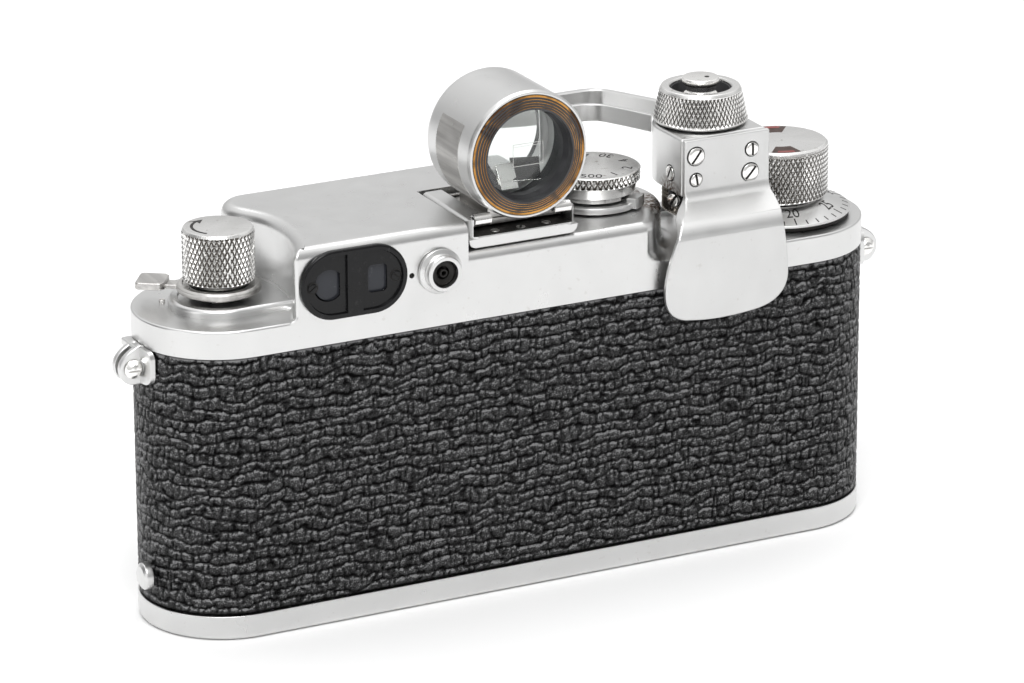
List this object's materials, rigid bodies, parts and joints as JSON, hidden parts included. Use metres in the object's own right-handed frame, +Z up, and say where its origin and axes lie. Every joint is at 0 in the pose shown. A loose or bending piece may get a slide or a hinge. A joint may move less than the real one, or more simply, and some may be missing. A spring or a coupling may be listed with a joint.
{
  "type": "rangefinder camera",
  "caption": "35 mm rangefinder camera with clip-on round viewfinder, knurled knobs, leather covering and a release grip with thumb plate.",
  "frame": {"origin": "centre of the base plate's flat underside", "axes": "+X to the holder's right along the body's length, +Y from the eyepieces towards the subject, +Z up"},
  "size_m": [0.1472, 0.0664, 0.0879],
  "materials": {
    "satin_chrome": "satin",
    "bright_chrome": "polished",
    "black_enamel": "semi-gloss",
    "leather": "coarse grain",
    "brass": "worn",
    "glass": "clear",
    "steel": "brushed",
    "dark_alloy": "blackened",
    "curtain_cloth": "matt"
  },
  "bodies": {
    "body": {"body_shell": "dark_alloy", "leather_cover": "leather", "top_cover": "satin_chrome", "base_stud": "satin_chrome", "strap_lug_left": "satin_chrome", "strap_lug_right": "satin_chrome", "lug_pin_left": "bright_chrome", "lug_pin_right": "bright_chrome", "eyepiece_plate": "black_enamel", "viewfinder_eyepiece": "glass", "rangefinder_eyepiece": "glass", "flash_socket": "satin_chrome", "rangefinder_window_outer": "glass", "rangefinder_window_inner": "glass", "viewfinder_window": "glass", "rangefinder_prism": "glass", "accessory_shoe": "satin_chrome", "shoe_spring": "steel", "film_cassette": "dark_alloy", "shutter_crate": "dark_alloy", "shutter_curtain": "curtain_cloth", "pressure_plate": "black_enamel", "grip_block": "satin_chrome", "thumb_plate": "satin_chrome", "plate_screw_upper": "bright_chrome", "plate_screw_lower": "bright_chrome", "finger_loop": "satin_chrome", "lens_flange": "satin_chrome", "lens_mount": "satin_chrome"},
    "base": {"base_plate": "satin_chrome", "tripod_bush": "brass"},
    "base_key": {"base_key": "bright_chrome"},
    "rewind": {"rewind_knob": "satin_chrome", "cassette_spool": "dark_alloy"},
    "dioptre": {"dioptre_lever": "satin_chrome"},
    "wind": {"wind_knob": "satin_chrome"},
    "counter": {"counter_dial": "satin_chrome"},
    "takeup": {"takeup_spool": "dark_alloy"},
    "sprocket": {"sprocket_shaft": "steel"},
    "speed": {"speed_dial": "satin_chrome"},
    "drum": {"curtain_drum": "brass"},
    "roller": {"spring_roller": "steel"},
    "sync": {"sync_lever": "satin_chrome"},
    "clutch": {"clutch_lever": "satin_chrome"},
    "slow_speed": {"slow_speed_dial": "satin_chrome"},
    "release": {"release_button": "bright_chrome"},
    "plunger": {"plunger": "bright_chrome"},
    "lock_collar": {"lock_collar": "satin_chrome"},
    "finger_cup": {"finger_cup": "satin_chrome"},
    "finder": {"finder_barrel": "satin_chrome", "finder_eye_ring": "brass", "finder_eye_glass": "glass", "finder_front_glass": "glass", "finder_foot": "dark_alloy"},
    "focus": {"focus_ring": "satin_chrome"},
    "carriage": {"lens_carriage": "brass"},
    "lens_tube": {"lens_tube": "bright_chrome"},
    "lens_head": {"lens_head": "satin_chrome", "front_glass": "glass"},
    "rangefinder_arm": {"rangefinder_arm": "steel"}
  },
  "joints": [
    {"name": "base_open", "type": "hinge", "parent": "body", "child": "base", "pos_m": [-0.068, 0, 0.0043], "axis": [0, 1, 0], "range_deg": [0, 30]},
    {"name": "base_key_turn", "type": "hinge", "parent": "base", "child": "base_key", "pos_m": [0.045, 0, 0.0005], "axis": [0, 0, 1], "range_deg": [0, 180]},
    {"name": "rewind_turn", "type": "hinge", "parent": "body", "child": "rewind", "pos_m": [-0.05315, 0, 0.06], "axis": [0, 0, 1], "continuous": true},
    {"name": "dioptre_turn", "type": "hinge", "parent": "body", "child": "dioptre", "pos_m": [-0.05315, 0, 0.057], "axis": [0, 0, 1], "range_deg": [-45, 45]},
    {"name": "wind_turn", "type": "hinge", "parent": "body", "child": "wind", "pos_m": [0.0534, 0, 0.06], "axis": [0, 0, 1], "continuous": true},
    {"name": "counter_turn", "type": "hinge", "parent": "body", "child": "counter", "pos_m": [0.0534, 0, 0.055], "axis": [0, 0, 1], "continuous": true},
    {"name": "takeup_turn", "type": "hinge", "parent": "body", "child": "takeup", "pos_m": [0.0534, 0, 0.03], "axis": [0, 0, 1], "continuous": true},
    {"name": "sprocket_turn", "type": "hinge", "parent": "body", "child": "sprocket", "pos_m": [0.0378, 0, 0.03], "axis": [0, 0, 1], "continuous": true},
    {"name": "speed_turn", "type": "hinge", "parent": "body", "child": "speed", "pos_m": [0.0169, 0, 0.066], "axis": [0, 0, 1], "continuous": true},
    {"name": "drum_turn", "type": "hinge", "parent": "body", "child": "drum", "pos_m": [0.0244, 0, 0.03], "axis": [0, 0, 1], "continuous": true},
    {"name": "roller_turn", "type": "hinge", "parent": "body", "child": "roller", "pos_m": [-0.0306, 0, 0.03], "axis": [0, 0, 1], "continuous": true},
    {"name": "sync_turn", "type": "hinge", "parent": "body", "child": "sync", "pos_m": [0.0169, 0, 0.0625], "axis": [0, 0, 1], "range_deg": [-40, 60]},
    {"name": "clutch_turn", "type": "hinge", "parent": "body", "child": "clutch", "pos_m": [0.0304, 0.0096, 0.055], "axis": [0, 0, 1], "range_deg": [0, 40]},
    {"name": "slow_speed_turn", "type": "hinge", "parent": "body", "child": "slow_speed", "pos_m": [0.0305, 0.016, 0.035], "axis": [0, 1, 0], "range_deg": [0, 270]},
    {"name": "plunger_press", "type": "slide", "parent": "body", "child": "plunger", "axis": [0, 0, -1], "range_m": [0, 0.0018], "stiffness_N_per_m": 800},
    {"name": "release_press", "type": "slide", "parent": "body", "child": "release", "axis": [0, 0, -1], "range_m": [0, 0.0018]},
    {"name": "lock_collar_turn", "type": "hinge", "parent": "body", "child": "lock_collar", "pos_m": [0.0378, 0, 0.06], "axis": [0, 0, 1], "continuous": true},
    {"name": "finger_cup_turn", "type": "hinge", "parent": "body", "child": "finger_cup", "pos_m": [0.0378, 0, 0.076], "axis": [0, 0, 1], "continuous": true},
    {"name": "finder_slide", "type": "slide", "parent": "body", "child": "finder", "axis": [0, -1, 0], "range_m": [0, 0.022]},
    {"name": "focus_turn", "type": "hinge", "parent": "body", "child": "focus", "pos_m": [-0.0028, 0.024, 0.0275], "axis": [0, 1, 0], "range_deg": [0, 150]},
    {"name": "carriage_travel", "type": "slide", "parent": "body", "child": "carriage", "axis": [0, 1, 0], "range_m": [0, 0.0027]},
    {"name": "lens_collapse", "type": "slide", "parent": "carriage", "child": "lens_tube", "axis": [0, 1, 0], "range_m": [-0.0135, 0]},
    {"name": "aperture_turn", "type": "hinge", "parent": "lens_tube", "child": "lens_head", "pos_m": [-0.0028, 0.046, 0.0275], "axis": [0, 1, 0], "range_deg": [0, 120]},
    {"name": "rangefinder_arm_swing", "type": "hinge", "parent": "body", "child": "rangefinder_arm", "pos_m": [-0.009, -0.003, 0.053], "axis": [0, 0, 1], "range_deg": [0, 5]}
  ],
  "couplings": [
    {"joint": "counter_turn", "follows": "wind_turn", "ratio": 0.025},
    {"joint": "takeup_turn", "follows": "wind_turn", "ratio": 1},
    {"joint": "sprocket_turn", "follows": "wind_turn", "ratio": -1},
    {"joint": "drum_turn", "follows": "speed_turn", "ratio": -1},
    {"joint": "roller_turn", "follows": "speed_turn", "ratio": -1.8667},
    {"joint": "release_press", "follows": "plunger_press", "ratio": 1},
    {"joint": "carriage_travel", "follows": "focus_turn", "m_per_rad": 0.001},
    {"joint": "rangefinder_arm_swing", "follows": "focus_turn", "ratio": 0.03}
  ]
}
